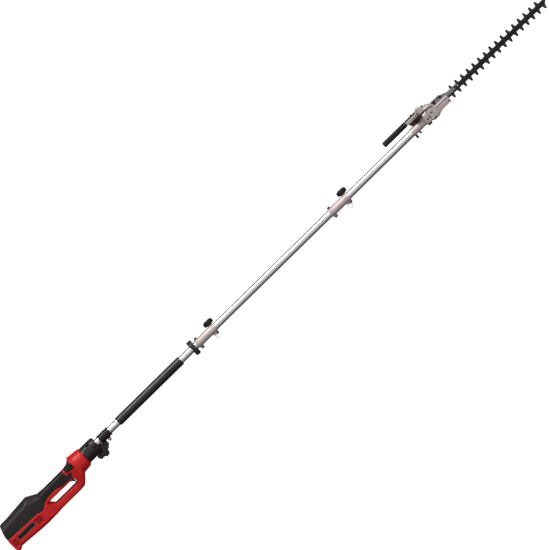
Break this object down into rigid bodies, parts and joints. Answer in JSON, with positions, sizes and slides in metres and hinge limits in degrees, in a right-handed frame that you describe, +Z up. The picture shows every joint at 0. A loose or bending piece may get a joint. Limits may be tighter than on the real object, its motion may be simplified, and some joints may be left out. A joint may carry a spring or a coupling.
{
  "type": "pole hedge trimmer",
  "caption": "Battery pole hedge trimmer: handle with motor and hand loop, plug-together aluminium pole and a tilting double-sided blade head.",
  "frame": {"origin": "on the surface the handle stands on, below the middle of the tool's length, in the plane of the pole", "axes": "+X along the pole towards the blade tip, +Y to the left, +Z up from the loop to the top of the handle"},
  "size_m": [2.511, 0.0844, 0.126],
  "materials": {
    "red_plastic": "satin moulded",
    "black_plastic": "fine textured",
    "soft_grip": "soft overmould",
    "foam_rubber": "smooth foam",
    "tube_aluminium": "bright drawn",
    "cast_alloy": "blasted casting",
    "steel": "brushed",
    "zinc_steel": "zinc plated",
    "black_steel": "black oxide",
    "blade_steel": "dark coated, ground edges",
    "circuit_board": "board",
    "cell_wrap": "cell wrap",
    "label_blank": "blank plate"
  },
  "bodies": {
    "handle": {"housing_left": "red_plastic", "housing_right": "red_plastic", "rear_hood": "black_plastic", "grip_cover": "soft_grip", "label_plates": "label_blank", "housing_fasteners": "black_steel", "switch_module": "black_plastic", "control_board": "circuit_board", "battery_terminals": "black_plastic", "motor_stator": "steel", "nose_coupling": "black_plastic", "rear_tube": "tube_aluminium", "rear_tube_bushes": "black_plastic", "strap_collar": "black_plastic", "foam_grip": "foam_rubber", "hand_stop_ring": "black_plastic", "coupling_1_body": "cast_alloy", "coupling_1_bolts": "zinc_steel"},
    "trigger": {"trigger": "black_plastic"},
    "lock_off_button": {"lock_off_button": "black_plastic"},
    "battery": {"battery_case": "black_plastic", "battery_cells": "cell_wrap"},
    "battery_release": {"battery_release_button": "red_plastic"},
    "nose_knob": {"nose_clamp_knob": "black_plastic"},
    "motor_shaft": {"rotor": "steel", "shaft_coupler": "steel", "rear_shaft": "steel"},
    "knob_1": {"coupling_1_knob": "black_plastic"},
    "pull_pin_1": {"coupling_1_pull_pin": "zinc_steel"},
    "middle_section": {"middle_tube": "tube_aluminium", "middle_tube_bushes": "black_plastic", "coupling_2_body": "cast_alloy", "coupling_2_bolts": "zinc_steel"},
    "middle_shaft": {"middle_shaft": "steel"},
    "knob_2": {"coupling_2_knob": "black_plastic"},
    "pull_pin_2": {"coupling_2_pull_pin": "zinc_steel"},
    "front_section": {"front_tube": "tube_aluminium", "front_tube_bushes": "black_plastic", "head_socket": "cast_alloy", "lock_sector": "black_steel", "pivot_bolt": "black_steel", "pivot_cap": "cast_alloy"},
    "front_shaft": {"front_shaft": "steel", "input_bevel": "steel"},
    "idler": {"idler_bevel": "steel"},
    "head": {"gear_case_front": "cast_alloy", "gear_case_back": "cast_alloy", "head_fasteners": "black_steel", "head_bearings": "steel", "lever_arm": "cast_alloy", "lever_grip": "soft_grip", "holder_plate": "steel", "guide_bar": "black_steel", "blade_bolts": "black_steel"},
    "output_shaft": {"output_shaft": "steel"},
    "crank": {"crank_gear": "steel"},
    "blade_upper": {"blade_upper": "blade_steel"},
    "blade_lower": {"blade_lower": "blade_steel"},
    "release_lever": {"release_lever": "black_steel"},
    "lock_pawl": {"lock_pawl": "zinc_steel"}
  },
  "joints": [
    {"name": "trigger_pull", "type": "hinge", "parent": "handle", "child": "trigger", "pos_m": [-1.0035, 0, 0.057], "axis": [0, -1, 0], "range_deg": [0, 4.5], "stiffness_Nm_per_rad": 2, "springref_deg": -1.72},
    {"name": "lock_off_press", "type": "slide", "parent": "handle", "child": "lock_off_button", "axis": [0, 0, -1], "range_m": [0, 0.003], "stiffness_N_per_m": 600, "springref_m": -0.002},
    {"name": "battery_slide", "type": "slide", "parent": "handle", "child": "battery", "axis": [-1, 0, 0], "range_m": [0, 0.12]},
    {"name": "battery_release_press", "type": "slide", "parent": "battery", "child": "battery_release", "axis": [1, 0, 0], "range_m": [0, 0.0025], "stiffness_N_per_m": 500, "springref_m": -0.001},
    {"name": "nose_knob_turn", "type": "hinge", "parent": "handle", "child": "nose_knob", "pos_m": [-0.8285, 0.038, 0.0355], "axis": [0, 1, 0], "range_deg": [0, 360]},
    {"name": "knob_1_turn", "type": "hinge", "parent": "handle", "child": "knob_1", "pos_m": [-0.2825, 0.017, 0.074], "axis": [0, 0, 1], "range_deg": [0, 360]},
    {"name": "pull_pin_1_pull", "type": "slide", "parent": "handle", "child": "pull_pin_1", "axis": [0, 0, -1], "range_m": [0, 0.0035], "stiffness_N_per_m": 500, "springref_m": -0.002},
    {"name": "middle_section_pull", "type": "slide", "parent": "handle", "child": "middle_section", "axis": [1, 0, 0], "range_m": [0, 0.045]},
    {"name": "knob_2_turn", "type": "hinge", "parent": "middle_section", "child": "knob_2", "pos_m": [0.3335, 0.017, 0.074], "axis": [0, 0, 1], "range_deg": [0, 360]},
    {"name": "pull_pin_2_pull", "type": "slide", "parent": "middle_section", "child": "pull_pin_2", "axis": [0, 0, -1], "range_m": [0, 0.0035], "stiffness_N_per_m": 500, "springref_m": -0.002},
    {"name": "front_section_pull", "type": "slide", "parent": "middle_section", "child": "front_section", "axis": [1, 0, 0], "range_m": [0, 0.045]},
    {"name": "head_tilt", "type": "hinge", "parent": "front_section", "child": "head", "pos_m": [0.7015, 0, 0.074], "axis": [0, 0, 1], "range_deg": [-75, 75]},
    {"name": "crank_turn", "type": "hinge", "parent": "head", "child": "crank", "pos_m": [0.7465, 0, 0.077], "axis": [0, 1, 0], "range_deg": [-90, 90]},
    {"name": "blade_upper_stroke", "type": "slide", "parent": "head", "child": "blade_upper", "axis": [1, 0, 0], "range_m": [-0.0066, 0.0066]},
    {"name": "blade_lower_stroke", "type": "slide", "parent": "head", "child": "blade_lower", "axis": [1, 0, 0], "range_m": [-0.0066, 0.0066]},
    {"name": "output_spin", "type": "hinge", "parent": "head", "child": "output_shaft", "pos_m": [0.7245, 0, 0.074], "axis": [1, 0, 0], "range_deg": [-361, 361]},
    {"name": "idler_spin", "type": "hinge", "parent": "front_section", "child": "idler", "pos_m": [0.7015, 0, 0.084], "axis": [0, 0, 1], "range_deg": [-155, 155]},
    {"name": "front_shaft_spin", "type": "hinge", "parent": "front_section", "child": "front_shaft", "pos_m": [0.4945, 0, 0.074], "axis": [1, 0, 0], "range_deg": [-361, 361]},
    {"name": "middle_shaft_spin", "type": "hinge", "parent": "middle_section", "child": "middle_shaft", "pos_m": [-0.0055, 0, 0.074], "axis": [1, 0, 0], "range_deg": [-361, 361]},
    {"name": "motor_spin", "type": "hinge", "parent": "handle", "child": "motor_shaft", "pos_m": [-0.8555, 0, 0.074], "axis": [1, 0, 0], "range_deg": [-361, 361]},
    {"name": "release_lever_pull", "type": "hinge", "parent": "head", "child": "release_lever", "pos_m": [0.6905, 0, 0.1184], "axis": [0, 1, 0], "range_deg": [0, 10], "stiffness_Nm_per_rad": 0.3, "springref_deg": -2.86},
    {"name": "lock_pawl_lift", "type": "slide", "parent": "head", "child": "lock_pawl", "axis": [0, 0, 1], "range_m": [0, 0.0034]}
  ],
  "couplings": [
    {"joint": "blade_upper_stroke", "follows": "crank_turn", "m_per_rad": 0.00417},
    {"joint": "blade_lower_stroke", "follows": "crank_turn", "m_per_rad": -0.00417},
    {"joint": "output_spin", "follows": "crank_turn", "ratio": 4},
    {"joint": "idler_spin", "follows": "crank_turn", "ratio": -1.6923},
    {"joint": "front_shaft_spin", "follows": "crank_turn", "ratio": -4},
    {"joint": "middle_shaft_spin", "follows": "crank_turn", "ratio": -4},
    {"joint": "motor_spin", "follows": "crank_turn", "ratio": -4},
    {"joint": "lock_pawl_lift", "follows": "release_lever_pull", "m_per_rad": 0.0189}
  ]
}
